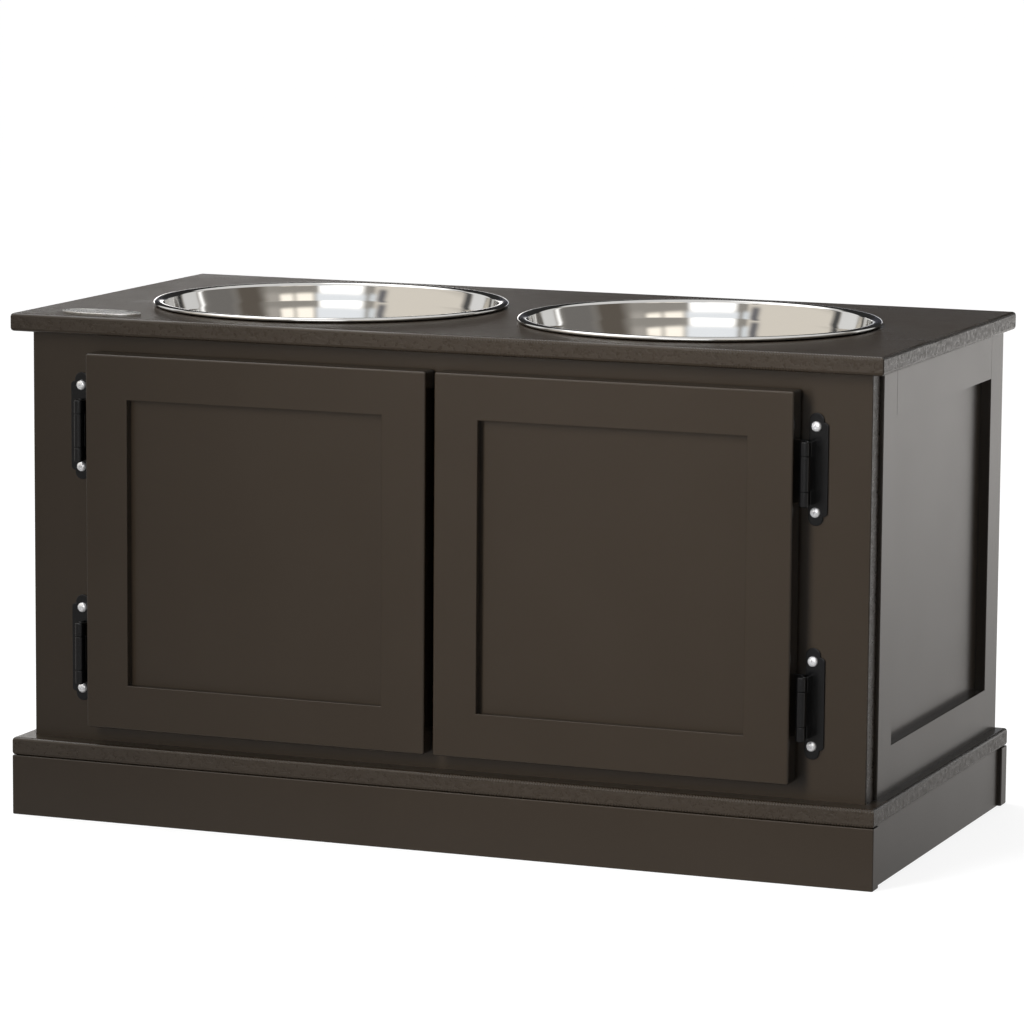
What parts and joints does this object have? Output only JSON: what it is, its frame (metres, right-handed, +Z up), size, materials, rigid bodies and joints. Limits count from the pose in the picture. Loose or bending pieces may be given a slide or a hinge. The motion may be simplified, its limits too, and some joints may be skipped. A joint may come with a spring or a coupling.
{
  "type": "elevated pet feeder cabinet",
  "caption": "Low cabinet that raises lift-out metal food bowls in a board top, with framed-panel hinged doors over a storage space and a skirted base.",
  "frame": {"origin": "on the floor, in the middle of the overall length and depth", "axes": "+Z up, +X to the right seen from the front, -Y out of the doors"},
  "size_m": [0.6, 0.3014, 0.3384],
  "materials": {
    "brown_paint": "satin espresso-brown paint over smooth fibreboard",
    "bowl_steel": "mirror-polished stainless steel",
    "plate_steel": "satin steel",
    "hinge_black": "gloss black",
    "zinc_plate": "bright zinc plating",
    "raw_wood": "bare softwood"
  },
  "bodies": {
    "cabinet": {"top_board": "brown_paint", "base_board": "brown_paint", "skirt_front": "brown_paint", "skirt_back": "brown_paint", "skirt_left": "brown_paint", "skirt_right": "brown_paint", "skirt_blocks": "raw_wood", "face_stile_left": "brown_paint", "face_stile_right": "brown_paint", "face_rail_top": "brown_paint", "face_rail_bottom": "brown_paint", "side_left_stile_front": "brown_paint", "side_left_stile_rear": "brown_paint", "side_left_rail_top": "brown_paint", "side_left_rail_bottom": "brown_paint", "side_left_panel": "brown_paint", "side_right_stile_front": "brown_paint", "side_right_stile_rear": "brown_paint", "side_right_rail_top": "brown_paint", "side_right_rail_bottom": "brown_paint", "side_right_panel": "brown_paint", "back_board": "brown_paint", "frame_leaf_left_upper": "hinge_black", "frame_leaf_left_lower": "hinge_black", "frame_leaf_right_upper": "hinge_black", "frame_leaf_right_lower": "hinge_black", "frame_leaf_screws": "zinc_plate", "base_screws": "zinc_plate", "block_screws": "zinc_plate", "back_screws": "zinc_plate", "face_dowels": "raw_wood", "rail_dowels": "raw_wood", "top_dowels": "raw_wood", "cam_locks": "zinc_plate", "cam_bolts": "zinc_plate", "blank_plate": "plate_steel"},
    "door_left": {"door_left_stile_outer": "brown_paint", "door_left_stile_inner": "brown_paint", "door_left_rail_top": "brown_paint", "door_left_rail_bottom": "brown_paint", "door_left_panel": "brown_paint", "door_leaf_left_upper": "hinge_black", "door_leaf_left_lower": "hinge_black", "hinge_pins_left": "hinge_black", "door_leaf_screws_left": "zinc_plate"},
    "door_right": {"door_right_stile_outer": "brown_paint", "door_right_stile_inner": "brown_paint", "door_right_rail_top": "brown_paint", "door_right_rail_bottom": "brown_paint", "door_right_panel": "brown_paint", "door_leaf_right_upper": "hinge_black", "door_leaf_right_lower": "hinge_black", "hinge_pins_right": "hinge_black", "door_leaf_screws_right": "zinc_plate"},
    "bowl_left": {"bowl_left": "bowl_steel"},
    "bowl_right": {"bowl_right": "bowl_steel"}
  },
  "joints": [
    {"name": "door_left_swing", "type": "hinge", "parent": "cabinet", "child": "door_left", "pos_m": [-0.2502, -0.14725, 0.1875], "axis": [0, 0, -1], "range_deg": [0, 170]},
    {"name": "door_right_swing", "type": "hinge", "parent": "cabinet", "child": "door_right", "pos_m": [0.2502, -0.14725, 0.1875], "axis": [0, 0, 1], "range_deg": [0, 170]},
    {"name": "bowl_left_lift", "type": "slide", "parent": "cabinet", "child": "bowl_left", "axis": [0, 0, 1], "range_m": [0, 0.12]},
    {"name": "bowl_right_lift", "type": "slide", "parent": "cabinet", "child": "bowl_right", "axis": [0, 0, 1], "range_m": [0, 0.12]}
  ]
}
